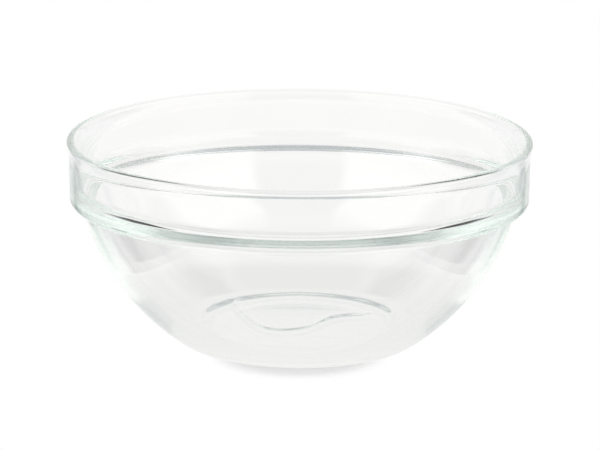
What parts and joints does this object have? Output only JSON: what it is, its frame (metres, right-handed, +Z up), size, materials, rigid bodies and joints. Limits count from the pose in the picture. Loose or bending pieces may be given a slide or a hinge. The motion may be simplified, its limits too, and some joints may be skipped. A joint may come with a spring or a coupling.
{
  "type": "glass salad bowl",
  "caption": "Round clear glass salad bowl with a rounded lip, an upright collar on a stacking shoulder, and a curved wall that narrows to a small flat foot.",
  "frame": {"origin": "on the bowl's axis, in the plane that the foot rests on", "axes": "+Z up along the axis towards the open rim; +X and +Y are any two directions across it, because the bowl is round"},
  "size_m": [0.23, 0.23, 0.103],
  "materials": {
    "clear_glass": "fire-polished clear glass, faintly green where it is thick"
  },
  "bodies": {
    "root": {"bowl": "clear_glass"}
  },
  "joints": []
}
